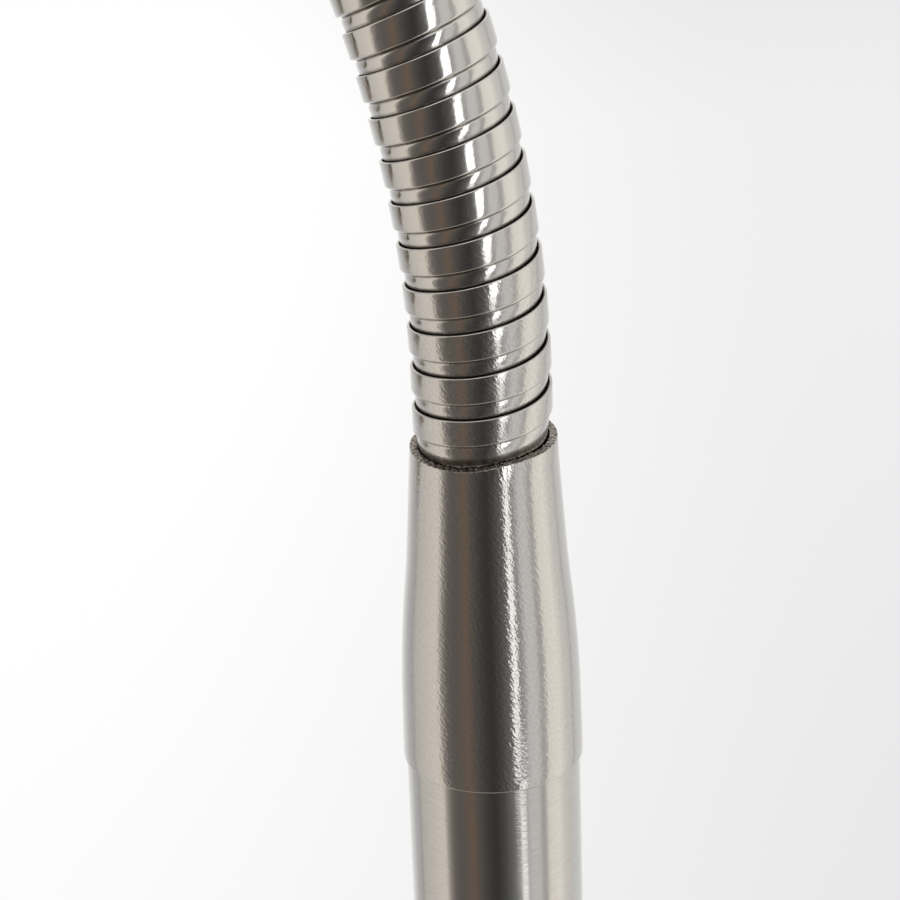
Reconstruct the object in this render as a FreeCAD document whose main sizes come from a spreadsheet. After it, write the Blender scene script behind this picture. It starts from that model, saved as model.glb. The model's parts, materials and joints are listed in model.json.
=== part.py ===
import FreeCAD, Part
import math
import os
import Sketcher
from types import SimpleNamespace
from FreeCAD import Placement, Rotation, Vector

# Gooseneck reading floor lamp.  Millimetres, +Z up, the floor at Z = 0, the pole on the Z axis.
# At rest the neck bends over towards -X and the head points down and outwards.

document = FreeCAD.newDocument("GooseneckLamp")
sheet = document.addObject("Spreadsheet::Sheet", "Sizes")


class Sized:
    """A number together with the sheet formula that gives it."""

    def __init__(self, value, formula):
        self.value = float(value)
        self.formula = formula

    def __add__(self, other):
        other = sized(other)
        return Sized(self.value + other.value, f"({self.formula} + {other.formula})")

    def __sub__(self, other):
        other = sized(other)
        return Sized(self.value - other.value, f"({self.formula} - {other.formula})")

    def __mul__(self, other):
        other = sized(other)
        return Sized(self.value * other.value, f"({self.formula} * {other.formula})")

    def __truediv__(self, other):
        other = sized(other)
        return Sized(self.value / other.value, f"({self.formula} / {other.formula})")

    def __radd__(self, other):
        return sized(other) + self

    def __rsub__(self, other):
        return sized(other) - self

    def __rmul__(self, other):
        return sized(other) * self

    def __neg__(self):
        return Sized(-self.value, f"(0 - {self.formula})")


def sized(number):
    return number if isinstance(number, Sized) else Sized(number, repr(float(number)))


def sine(angle):
    return Sized(math.sin(math.radians(angle.value)), f"sin({angle.formula})")


def cosine(angle):
    return Sized(math.cos(math.radians(angle.value)), f"cos({angle.formula})")


def squareRoot(number):
    return Sized(math.sqrt(number.value), f"sqrt({number.formula})")


# ---- driving dimensions -------------------------------------------------------------------

drivingSizes = {
    # weighted floor base
    "baseRadius": 115.0,
    "coverWall": 1.0,
    "coverFloorGap": 1.0,
    "coverRimTop": 13.0,
    "coverEdgeRadius": 6.0,
    "coverSlope": 8.0,
    "hubRadius": 24.0,
    "feltThickness": 1.5,
    "feltMargin": 3.0,
    "weightInset": 9.0,
    "weightGap": 2.0,
    "weightBossRadius": 20.0,
    "recessRadius": 18.0,
    "recessTop": 18.5,
    "channelWidth": 11.0,
    "channelTop": 12.5,
    "baseWasherRadius": 14.0,
    "baseWasherThickness": 1.5,
    "baseNutRadius": 9.8,
    "baseNutHeight": 4.0,
    "nippleRadius": 5.0,
    "nippleBore": 3.6,
    "nippleTail": 1.0,
    "nippleReach": 14.0,

    # mains inlet and inner lead
    "glandHeight": 6.8,
    "glandBore": 3.1,
    "glandBodyRadius": 4.2,
    "glandFlangeRadius": 6.0,
    "glandFlangeThickness": 2.2,
    "glandInsideLength": 12.0,
    "leadRadius": 2.6,
    "leadBendRadius": 7.0,
    "leadInset": 27.0,
    "leadTopGap": 6.0,

    # pole
    "poleRadius": 9.525,
    "poleWall": 1.0,
    "sectionLength": 360.0,
    "couplerLength": 44.0,
    "couplerBore": 5.0,
    "insertLength": 20.0,
    "flangeRadius": 20.0,
    "flangeHeight": 9.0,
    "flangeRound": 4.0,

    # sleeve collar between pole and gooseneck
    "collarOverlap": 7.0,
    "collarFootRadius": 9.90,
    "collarSkirtLength": 7.0,
    "collarSkirtSlope": 0.82,
    "collarShoulderLength": 14.0,
    "collarShoulderSlope": 6.0,
    "collarWaistLength": 4.6,
    "collarNeckLength": 11.76,
    "collarNeckSlope": 3.7,
    "hoseHoleSunk": 2.0,
    "fittingFlangeRadius": 8.8,
    "fittingFlangeHeight": 3.0,
    "fittingBodyLength": 17.0,
    "fittingStemLength": 9.0,
    "spigotLength": 18.0,

    # stripwound gooseneck hose
    "hoseRadius": 7.4,
    "hoseEndRadius": 6.9,
    "hoseBore": 4.8,
    "hosePitch": 4.7124,
    "ridgeRadius": 6.97,
    "gapRadius": 6.75,
    "gapWidth": 0.12,
    "ridgeTop": 1.45,
    "bandFoot": 1.70,
    "ballRadius": 6.85,
    "ballDepth": 4.0,
    "ballGap": 0.3,
    "lipRelief": 2.0,
    "neckBendRadius": 120.0,
    "hoseShownLength": 6.57,

    # head
    "cupRadius": 23.0,
    "cupWall": 1.0,
    "cupLength": 42.0,
    "cupRound": 9.0,
    "ventRadius": 1.6,
    "ventCircle": 16.5,
    "headWasherRadius": 9.0,
    "headWasherThickness": 1.0,
    "headNutRadius": 8.1,
    "headNutHeight": 4.0,
    "holderThread": 7.0,
    "holderRadius": 13.0,
    "holderCapLength": 12.0,
    "holderLength": 34.0,
    "holderSkirtRadius": 13.9,
    "holderShoulderRadius": 17.0,
    "holderShoulderHeight": 2.5,
    "holderWall": 8.0,
    "shellRadius": 7.9,
    "shellWall": 0.6,
    "shellLength": 25.0,
    "contactRadius": 2.6,
    "contactHeight": 2.4,
    "ringRadius": 19.0,
    "ringHeight": 5.0,
    "shadeWall": 0.9,
    "shadeLength": 92.0,
    "shadeMouthRadius": 58.0,
    "shadeBellRadius": 120.0,
    "shadeBeadRadius": 1.3,
    "bulbCapRadius": 7.0,
    "bulbCapLength": 22.0,
    "bulbTipRadius": 2.4,
    "bulbTipHeight": 1.4,
    "bulbNeckRadius": 9.0,
    "bulbRadius": 22.5,
    "bulbLength": 47.0,
    "bulbWall": 1.0,

    # rotary switch on the socket cup
    "switchPlace": 22.0,
    "switchThickness": 5.6,
    "switchWidth": 13.0,
    "switchLength": 18.0,
    "switchSeat": 1.8,
    "bushingRadius": 3.5,
    "bushingReach": 3.5,
    "switchNutRadius": 5.6,
    "switchNutHeight": 2.0,
    "shaftRadius": 2.0,
    "shaftSunk": 4.0,
    "knobRadius": 7.5,
    "knobLength": 10.5,
    "knobCap": 2.5,
    "knobGap": 0.6,
    "fluteRadius": 0.9,

    # fits
    "pressGap": 0.03,
    "runningGap": 0.05,
    "looseGap": 0.2,
    "swivelGap": 0.05,
    "sleeveGap": 0.035,
    "fittingGap": 0.04,
}

# each driving size is a row of the sheet, with its name, its value and its alias
size = SimpleNamespace()
for row, (alias, value) in enumerate(drivingSizes.items(), start=1):
    sheet.set(f"A{row}", alias)
    sheet.set(f"B{row}", str(value))
    sheet.setAlias(f"B{row}", alias)
    setattr(size, alias, Sized(value, f"Sizes.{alias}"))

# counts
turnsPerLink = 5
linkCount = 13
ventCount = 8
fluteCount = 20
fullTurn = 360

# ---- levels and places that follow from them ----------------------------------------------


def tangent(angle):
    return sine(angle) / cosine(angle)


coverEdgeX = size.baseRadius - size.coverEdgeRadius + size.coverEdgeRadius * sine(size.coverSlope)
coverEdgeZ = size.coverRimTop + size.coverEdgeRadius * cosine(size.coverSlope)
crownHeight = coverEdgeZ + (coverEdgeX - size.hubRadius) * tangent(size.coverSlope)
coverDrop = size.coverWall / cosine(size.coverSlope)
weightRadius = size.baseRadius - size.weightInset


def coverTopAt(radius):
    return coverEdgeZ + (coverEdgeX - radius) * tangent(size.coverSlope)


tubeBore = size.poleRadius - size.poleWall
plugRadius = tubeBore - size.pressGap
clearHole = size.nippleRadius + size.looseGap
threadHole = size.nippleRadius + size.runningGap
nippleFoot = size.recessTop - size.baseWasherThickness - size.baseNutHeight - size.nippleTail
poleTop = crownHeight + 3 * size.sectionLength
collarFoot = poleTop - size.collarOverlap
shoulderLevel = size.collarSkirtLength + size.collarShoulderLength
waistLevel = shoulderLevel + size.collarWaistLength
collarLength = waistLevel + size.collarNeckLength
collarBore = size.poleRadius + size.sleeveGap
hoseHole = size.hoseEndRadius + size.runningGap
fittingBase = size.collarOverlap + size.swivelGap
fittingTop = fittingBase + size.fittingBodyLength
hoseStart = fittingTop
hoseStubLength = collarLength + size.hoseShownLength - hoseStart
pivotStart = collarFoot + collarLength + size.hoseShownLength
linkAngle = math.degrees(turnsPerLink * size.hosePitch.value / size.neckBendRadius.value)
headTurn = linkCount * linkAngle
headX = size.neckBendRadius.value * (math.cos(math.radians(headTurn)) - 1)
headZ = pivotStart.value + size.neckBendRadius.value * math.sin(math.radians(headTurn))
headPlace = Placement(Vector(headX, 0, headZ), Rotation(Vector(0, -1, 0), headTurn))

# along the head's own axis, from the last pivot of the neck
ferruleFoot = collarLength + size.hoseShownLength
cupBack = ferruleFoot
bushLength = fittingBase
cupFront = cupBack + size.cupLength
holderBack = cupBack + size.cupWall + size.headWasherThickness + size.headNutHeight + size.looseGap
upperSpigotLength = holderBack + size.holderThread - (ferruleFoot - fittingBase)
holderJoint = holderBack + size.holderCapLength
holderFront = holderJoint + size.holderLength
shellBack = holderJoint + size.holderWall
bulbBack = shellBack + size.shellWall + size.contactHeight + size.bulbTipHeight
switchAxisPlace = headPlace.multiply(Placement(Vector(0, 0, (cupBack + size.switchPlace).value),
                                               Rotation(Vector(0, 1, 0), 90)))
switchFront = size.cupRadius - size.cupWall - size.switchSeat
knobFoot = size.cupRadius + size.bushingReach + size.knobGap
knobBoreDepth = size.knobLength - size.knobCap

parts = {}


# ---- ways of making a piece ---------------------------------------------------------------


def originPlane(body, role):
    return next(feature for feature in body.Origin.OriginFeatures if feature.Role == role)


def bind(item, place, measure):
    """Sets one property, or one datum of a sketch, from the sheet."""
    item.setExpression(place, measure.formula)


def startBody(label, place):
    body = document.addObject("PartDesign::Body", label)
    body.Label = label
    body.Placement = place
    return body


def attachedSketch(body, name, role):
    sketch = body.newObject("Sketcher::SketchObject", name)
    sketch.AttachmentSupport = (originPlane(body, role), "")
    sketch.MapMode = "FlatFace"
    return sketch


def drawOutline(sketch, corners):
    """Closed outline.  A corner is (across, up), or (across, up, radius, side) when an arc of that
    radius comes to it from the corner before; side is 1 where the arc bulges to the right of the way."""
    points = [Vector(sized(corner[0]).value, sized(corner[1]).value, 0) for corner in corners]
    count = len(corners)
    ends = []
    for index in range(count):
        start = points[index]
        goal = points[(index + 1) % count]
        corner = corners[(index + 1) % count]
        if len(corner) == 2:
            sketch.addGeometry(Part.LineSegment(start, goal), False)
            ends.append((1, 2))
            continue
        chord = goal - start
        half = chord.Length / 2
        radius = sized(corner[2]).value
        bulge = Vector(chord.y, -chord.x, 0).normalize() * corner[3]
        middle = (start + goal) * 0.5 + bulge * (radius - math.sqrt(radius * radius - half * half))
        anticlockwise = corner[3] > 0
        arc = Part.Arc(start, middle, goal) if anticlockwise else Part.Arc(goal, middle, start)
        sketch.addGeometry(arc, False)
        ends.append((1, 2) if anticlockwise else (2, 1))
    for index in range(count):
        following = (index + 1) % count
        sketch.addConstraint(Sketcher.Constraint("Coincident", index, ends[index][1],
                                                 following, ends[following][0]))
    for index in range(count):
        across, up = corners[index][:2]
        for kind, measure, axis in (("DistanceX", across, -2), ("DistanceY", up, -1)):
            measure = sized(measure)
            if abs(measure.value) < 1e-9:
                sketch.addConstraint(Sketcher.Constraint("PointOnObject", index, ends[index][0], axis))
                continue
            number = sketch.addConstraint(
                Sketcher.Constraint(kind, -1, 1, index, ends[index][0], measure.value))
            bind(sketch, f"Constraints[{number}]", measure)
        if len(corners[index]) == 4:
            radius = sized(corners[index][2])
            number = sketch.addConstraint(
                Sketcher.Constraint("Radius", (index - 1) % count, radius.value))
            bind(sketch, f"Constraints[{number}]", radius)


def turnedBody(label, corners, place=Placement()):
    """A piece made on a lathe: its half section stands in the XZ plane and turns about Z."""
    body = startBody(label, place)
    sketch = attachedSketch(body, label + "_section", "XZ_Plane")
    drawOutline(sketch, corners)
    turning = body.newObject("PartDesign::Revolution", label + "_turning")
    turning.Profile = sketch
    turning.ReferenceAxis = (sketch, ["V_Axis"])
    turning.Angle = fullTurn
    body.Tip = turning
    return body


def tubeCorners(inner, outer, foot, top):
    return [(inner, foot), (outer, foot), (outer, top), (inner, top)]


def holeRing(body, name, circle, radius, depth, count):
    """Holes on a circle about Z, cut upwards from the body's own XY plane."""
    sketch = attachedSketch(body, name + "_sketch", "XY_Plane")
    sketch.addGeometry(Part.Circle(Vector(circle.value, 0, 0), Vector(0, 0, 1), radius.value), False)
    sketch.addConstraint(Sketcher.Constraint("PointOnObject", 0, 3, -1))
    across = sketch.addConstraint(Sketcher.Constraint("DistanceX", -1, 1, 0, 3, circle.value))
    bind(sketch, f"Constraints[{across}]", circle)
    number = sketch.addConstraint(Sketcher.Constraint("Radius", 0, radius.value))
    bind(sketch, f"Constraints[{number}]", radius)
    pocket = body.newObject("PartDesign::Pocket", name)
    pocket.Profile = sketch
    pocket.Reversed = True
    bind(pocket, "Length", depth)
    document.recompute()
    pattern = body.newObject("PartDesign::PolarPattern", name + "_ring")
    pattern.Originals = [pocket]
    pattern.Axis = (sketch, ["N_Axis"])
    pattern.Angle = fullTurn
    pattern.Occurrences = count
    body.Tip = pattern


def primitive(kind, name, measures, place=Placement()):
    item = document.addObject(kind, name)
    for key, measure in measures.items():
        bind(item, key, sized(measure))
    item.Placement = place
    return item


def rod(name, radius, length, place=Placement()):
    return primitive("Part::Cylinder", name, {"Radius": radius, "Height": length}, place)


def prism(name, radius, length, place=Placement()):
    item = primitive("Part::Prism", name, {"Circumradius": radius, "Height": length}, place)
    item.Polygon = 6
    return item


def joined(kind, label, base, tool):
    item = document.addObject(kind, label)
    item.Label = label
    item.Base = base
    item.Tool = tool
    return item


def cut(label, base, tool):
    return joined("Part::Cut", label, base, tool)


def fused(label, base, tool):
    return joined("Part::Fuse", label, base, tool)


def feature(label, shape, place=Placement()):
    item = document.addObject("Part::Feature", label)
    item.Label = label
    item.Shape = shape
    item.Placement = place
    return item


def raised(measure, place=Placement()):
    return place.multiply(Placement(Vector(0, 0, sized(measure).value), Rotation()))


def keep(item):
    parts[item.Label] = item
    return item


def hexNut(label, radius, height, bore, place):
    blank = prism(label + "_blank", radius, height, place)
    hole = rod(label + "_thread", bore, 3 * height, raised(-height, place))
    return keep(cut(label, blank, hole))


# ---- base ---------------------------------------------------------------------------------


def makeBase():
    innerEdgeRadius = size.coverEdgeRadius - size.coverWall
    innerEdgeX = size.baseRadius - size.coverEdgeRadius + innerEdgeRadius * sine(size.coverSlope)
    innerEdgeZ = size.coverRimTop + innerEdgeRadius * cosine(size.coverSlope)
    hubInside = crownHeight - size.coverWall
    slopeFoot = coverEdgeX - (hubInside + coverDrop - coverEdgeZ) / tangent(size.coverSlope)
    cover = turnedBody("base_cover_shell", [
        (size.baseRadius - size.coverWall, size.coverFloorGap),
        (size.baseRadius, size.coverFloorGap),
        (size.baseRadius, size.coverRimTop),
        (coverEdgeX, coverEdgeZ, size.coverEdgeRadius, 1),
        (size.hubRadius, crownHeight),
        (clearHole, crownHeight),
        (clearHole, hubInside),
        (slopeFoot, hubInside),
        (innerEdgeX, innerEdgeZ),
        (size.baseRadius - size.coverWall, size.coverRimTop, innerEdgeRadius, -1),
    ])
    holeReach = 3 * size.coverWall
    sideways = Placement(Vector((size.baseRadius - holeReach).value, 0, size.glandHeight.value),
                         Rotation(Vector(0, 1, 0), 90))
    inletHole = rod("inlet_hole", size.glandBodyRadius + size.runningGap, 2 * holeReach, sideways)
    keep(cut("base_cover", cover, inletHole))

    weightEdge = coverTopAt(weightRadius) - coverDrop - size.weightGap
    weightTop = coverTopAt(size.weightBossRadius + size.weightGap) - coverDrop - size.weightGap
    weight = turnedBody("base_weight_casting", [
        (size.recessRadius, size.feltThickness),
        (weightRadius, size.feltThickness),
        (weightRadius, weightEdge),
        (size.weightBossRadius + size.weightGap, weightTop),
        (size.weightBossRadius, weightTop),
        (size.weightBossRadius, hubInside),
        (clearHole, hubInside),
        (clearHole, size.recessTop),
        (size.recessRadius, size.recessTop),
    ])
    channel = primitive("Part::Box", "lead_channel", {
        "Length": weightRadius + size.coverWall, "Width": size.channelWidth, "Height": size.channelTop,
    }, Placement(Vector(0, -size.channelWidth.value / 2, 0), Rotation()))
    keep(cut("base_weight", weight, channel))

    felt = rod("base_felt", weightRadius - size.feltMargin, size.feltThickness)
    felt.Label = "base_felt"
    keep(felt)
    keep(turnedBody("base_washer", tubeCorners(clearHole, size.baseWasherRadius, 0, size.baseWasherThickness),
                    raised(size.recessTop - size.baseWasherThickness)))
    hexNut("base_nut", size.baseNutRadius, size.baseNutHeight, threadHole,
           raised(size.recessTop - size.baseWasherThickness - size.baseNutHeight))
    keep(turnedBody("base_nipple", tubeCorners(size.nippleBore, size.nippleRadius, nippleFoot,
                                               crownHeight + size.nippleReach)))


def makeInlet():
    outwards = Placement(Vector((size.baseRadius - size.glandInsideLength).value, 0, size.glandHeight.value),
                         Rotation(Vector(0, 1, 0), 90))
    flangeFoot = size.glandInsideLength + size.runningGap
    bevel = size.glandFlangeThickness / 3
    keep(turnedBody("cord_gland", [
        (size.glandBore, 0),
        (size.glandBodyRadius, 0),
        (size.glandBodyRadius, flangeFoot),
        (size.glandFlangeRadius, flangeFoot),
        (size.glandFlangeRadius, flangeFoot + size.glandFlangeThickness - bevel),
        (size.glandFlangeRadius - bevel, flangeFoot + size.glandFlangeThickness),
        (size.glandBore, flangeFoot + size.glandFlangeThickness),
    ], outwards))


def makePoleLead():
    """The lead runs in from the gland, turns up under the nipple and climbs the pole."""
    level = size.glandHeight.value
    bend = size.leadBendRadius.value
    top = (pivotStart - size.leadTopGap).value
    start = Vector((size.baseRadius - size.leadInset).value, 0, level)
    turnIn = Vector(bend, 0, level)
    turnMiddle = Vector(bend - bend * math.sqrt(0.5), 0, level + bend - bend * math.sqrt(0.5))
    turnOut = Vector(0, 0, level + bend)
    route = Part.Wire([
        Part.LineSegment(start, turnIn).toShape(),
        Part.Arc(turnIn, turnMiddle, turnOut).toShape(),
        Part.LineSegment(turnOut, Vector(0, 0, top)).toShape(),
    ])
    ring = Part.Wire([Part.Circle(start, Vector(1, 0, 0), size.leadRadius.value).toShape()])
    lead = route.makePipeShell([ring], True, False)
    expected = math.pi * size.leadRadius.value ** 2 * route.Length
    print(f"pole_lead volume over section times length: {lead.Volume / expected:.5f}, bend radius {bend:.1f}")
    keep(feature("pole_lead", lead))


# ---- pole ---------------------------------------------------------------------------------


def makePole():
    for index, name in enumerate(("pole_lower", "pole_middle", "pole_upper")):
        keep(turnedBody(name, tubeCorners(tubeBore, size.poleRadius, 0, size.sectionLength),
                        raised(crownHeight + index * size.sectionLength)))
    for index, name in enumerate(("pole_coupler_lower", "pole_coupler_upper")):
        middle = crownHeight + (index + 1) * size.sectionLength
        keep(turnedBody(name, tubeCorners(size.couplerBore, plugRadius, 0, size.couplerLength),
                        raised(middle - size.couplerLength / 2)))
    keep(turnedBody("pole_bottom_insert", tubeCorners(threadHole, plugRadius, 0, size.insertLength),
                    raised(crownHeight)))
    keep(turnedBody("pole_top_insert", tubeCorners(threadHole, plugRadius, 0, size.insertLength),
                    raised(poleTop - size.insertLength)))
    keep(turnedBody("pole_flange", [
        (size.poleRadius + size.looseGap, 0),
        (size.flangeRadius, 0),
        (size.flangeRadius, size.flangeHeight - size.flangeRound),
        (size.flangeRadius - size.flangeRound, size.flangeHeight, size.flangeRound, 1),
        (size.poleRadius + size.looseGap, size.flangeHeight),
    ], raised(crownHeight)))


# ---- collar and fittings at the two ends of the gooseneck ---------------------------------


def makeCollar(label, place):
    shoulderArc = size.collarShoulderLength / (sine(size.collarShoulderSlope) - sine(size.collarSkirtSlope))
    waistArc = size.collarWaistLength / (sine(size.collarShoulderSlope) - sine(size.collarNeckSlope))
    skirtTop = size.collarFootRadius - size.collarSkirtLength * tangent(size.collarSkirtSlope)
    shoulderTop = skirtTop - shoulderArc * (cosine(size.collarSkirtSlope) - cosine(size.collarShoulderSlope))
    waistTop = shoulderTop - waistArc * (cosine(size.collarNeckSlope) - cosine(size.collarShoulderSlope))
    rim = waistTop - size.collarNeckLength * tangent(size.collarNeckSlope)
    keep(turnedBody(label, [
        (collarBore, 0),
        (size.collarFootRadius, 0),
        (skirtTop, size.collarSkirtLength),
        (shoulderTop, shoulderLevel, shoulderArc, 1),
        (waistTop, waistLevel, waistArc, -1),
        (rim, collarLength),
        (hoseHole, collarLength),
        (hoseHole, fittingTop - size.hoseHoleSunk),
        (collarBore, size.collarOverlap + 2 * size.looseGap),
    ], place))


def makeFitting(label, spigot, place):
    stemRadius = size.hoseBore - size.runningGap
    bodyRadius = hoseHole - size.fittingGap
    keep(turnedBody(label, [
        (size.nippleBore, -spigot),
        (size.nippleRadius, -spigot),
        (size.nippleRadius, 0),
        (size.fittingFlangeRadius, 0),
        (size.fittingFlangeRadius, size.fittingFlangeHeight),
        (bodyRadius, size.fittingFlangeHeight),
        (bodyRadius, size.fittingBodyLength),
        (stemRadius, size.fittingBodyLength),
        (stemRadius, size.fittingBodyLength + size.fittingStemLength),
        (size.nippleBore, size.fittingBodyLength + size.fittingStemLength),
    ], place))


# ---- gooseneck ----------------------------------------------------------------------------


def alongBend(distance):
    """Place on the neck's centre line, that far past the first pivot and square to the line."""
    turn = math.degrees(distance / size.neckBendRadius.value)
    x = size.neckBendRadius.value * (math.cos(math.radians(turn)) - 1)
    z = size.neckBendRadius.value * math.sin(math.radians(turn))
    return Placement(Vector(x, 0, z), Rotation(Vector(0, -1, 0), turn))


def alongStraight(distance):
    return Placement(Vector(0, 0, distance), Rotation())


def ringWire(place, radius):
    ring = Part.Circle(Vector(0, 0, 0), Vector(0, 0, 1), radius)
    wire = Part.Wire([ring.toShape()])
    wire.Placement = place
    return wire


def hoseRibs(route, start, turns, tail):
    """Wide bands and narrow ridges: each turn is a rib through four circles.  A tail is the plain,
    slimmer end of the hose, below the turns where it is negative and above them where positive."""
    pitch = size.hosePitch.value
    turnOutline = (
        (size.gapWidth.value, size.gapRadius.value),
        (size.ridgeTop.value, size.ridgeRadius.value),
        (size.bandFoot.value, size.hoseRadius.value),
        (pitch, size.hoseRadius.value),
    )
    rings = []
    if tail < 0:
        rings += [ringWire(route(place), size.hoseEndRadius.value) for place in (start + tail, start)]
    for turn in range(turns):
        for level, radius in turnOutline:
            rings.append(ringWire(route(start + turn * pitch + level), radius))
    if tail > 0:
        end = start + turns * pitch
        level = end + size.gapWidth.value
        rings += [ringWire(route(place), size.hoseEndRadius.value) for place in (level, end + tail)]
    return Part.makeLoft(rings, True, True)


def hoseBoreCut(route, start, end, steps):
    stations = [start + (end - start) * index / steps for index in range(steps + 1)]
    return Part.makeLoft([ringWire(route(station), size.hoseBore.value) for station in stations], True, True)


def ballEnd():
    """Rounded lower end that sits inside the lip of the length below it, centred on the pivot."""
    ball = Part.makeSphere(size.ballRadius.value)
    keepBelow = size.bandFoot.value + size.gapWidth.value
    reach = 2 * size.ballRadius.value
    block = Part.makeBox(2 * reach, 2 * reach, size.ballDepth.value + keepBelow,
                         Vector(-reach, -reach, -size.ballDepth.value))
    return ball.common(block)


def socketCut():
    return Part.makeSphere((size.ballRadius + size.ballGap).value)


def lipCut():
    """Slanted trim of the upper lip, deepest on the outside of the bend, so the neck can bend back."""
    side = 6 * size.hoseRadius.value
    tilt = math.degrees(math.atan2(size.lipRelief.value, 2 * size.hoseRadius.value))
    block = Part.makeBox(side, side, side, Vector(-side / 2, -side / 2, 0))
    tilted = Placement(Vector(-size.hoseRadius.value, 0, 0), Rotation(Vector(0, 1, 0), tilt))
    block.Placement = tilted.multiply(Placement(Vector(size.hoseRadius.value, 0, 0), Rotation()))
    return block


def placedShape(shape, place):
    copy = shape.copy()
    copy.Placement = place.multiply(copy.Placement)
    return copy


def hoseLength(route, start, turns, ballBelow, lipAbove, tail=0):
    """One stretch of hose from start, with a ball end below and a lip above where it has them."""
    end = start + turns * size.hosePitch.value
    solid = hoseRibs(route, start, turns, tail)
    if ballBelow:
        solid = solid.fuse(placedShape(ballEnd(), route(start)))
    if lipAbove:
        solid = solid.cut(placedShape(lipCut(), route(end)))
        solid = solid.cut(placedShape(socketCut(), route(end)))
    under = start - max(size.ballDepth.value, -tail) - 1
    over = end + max(tail, 0) + 1
    return solid.cut(hoseBoreCut(route, under, over, 2 * turns + 2))


def makeNeck():
    base = Placement(Vector(0, 0, pivotStart.value), Rotation())
    linkLength = turnsPerLink * size.hosePitch.value
    stubTurns = int(size.hoseShownLength.value // size.hosePitch.value)
    stubTail = hoseStubLength.value - stubTurns * size.hosePitch.value
    stub = hoseLength(alongStraight, -stubTurns * size.hosePitch.value, stubTurns, False, True, -stubTail)
    keep(feature("gooseneck_root", stub, base))
    link = hoseLength(alongBend, 0, turnsPerLink, True, True)
    turn = math.degrees(linkLength / size.neckBendRadius.value)
    centre = Vector(-size.neckBendRadius.value, 0, 0)
    for index in range(linkCount):
        swung = Placement(Vector(0, 0, 0), Rotation(Vector(0, -1, 0), index * turn), centre)
        keep(feature(f"gooseneck_link_{index + 1:02d}", link, base.multiply(swung)))
    tip = hoseLength(alongStraight, 0, stubTurns, True, False, stubTail)
    keep(feature("gooseneck_tip", tip, headPlace))
    for index in range(linkCount + 1):
        pivot = base.multiply(alongBend(index * linkLength))
        print(f"pivot {index + 1} {pivot.Base.x:.4f} {pivot.Base.z:.4f} {index * turn:.4f}")


# ---- head ---------------------------------------------------------------------------------


def makeHead():
    flipped = headPlace.multiply(Placement(Vector(0, 0, ferruleFoot.value), Rotation(Vector(1, 0, 0), 180)))
    makeCollar("head_ferrule", flipped)
    makeFitting("hose_fitting_upper", upperSpigotLength, raised(fittingBase, flipped))
    keep(turnedBody("head_bush", tubeCorners(clearHole, collarBore - size.runningGap, 0, bushLength),
                    raised(ferruleFoot - bushLength, headPlace)))
    makeCup()
    washerFoot = cupBack + size.cupWall
    keep(turnedBody("head_washer", tubeCorners(clearHole, size.headWasherRadius, 0, size.headWasherThickness),
                    raised(washerFoot, headPlace)))
    hexNut("head_nut", size.headNutRadius, size.headNutHeight, threadHole,
           raised(washerFoot + size.headWasherThickness, headPlace))
    leadLength = holderJoint - size.leadTopGap - size.looseGap
    headLead = rod("head_lead", size.leadRadius, leadLength, raised(size.leadTopGap, headPlace))
    headLead.Label = "head_lead"
    keep(headLead)
    makeHolder()
    makeShade()
    makeBulb()
    makeSwitch()


def makeCup():
    cup = turnedBody("socket_cup_shell", [
        (clearHole, 0),
        (size.cupRadius - size.cupRound, 0),
        (size.cupRadius, size.cupRound, size.cupRound, 1),
        (size.cupRadius, size.cupLength),
        (size.cupRadius - size.cupWall, size.cupLength),
        (size.cupRadius - size.cupWall, size.cupRound),
        (size.cupRadius - size.cupRound, size.cupWall, size.cupRound - size.cupWall, -1),
        (clearHole, size.cupWall),
    ], raised(cupBack, headPlace))
    document.recompute()
    before = cup.Shape.Volume
    holeRing(cup, "cup_vent", size.ventCircle, size.ventRadius, size.cupRound, ventCount)
    document.recompute()
    print(f"socket_cup vents take {before - cup.Shape.Volume:.1f} cubic mm")
    holeDepth = size.cupRadius + size.cupWall
    hole = rod("switch_hole", size.bushingRadius + size.looseGap, holeDepth, switchAxisPlace)
    keep(cut("socket_cup", cup, hole))


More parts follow.
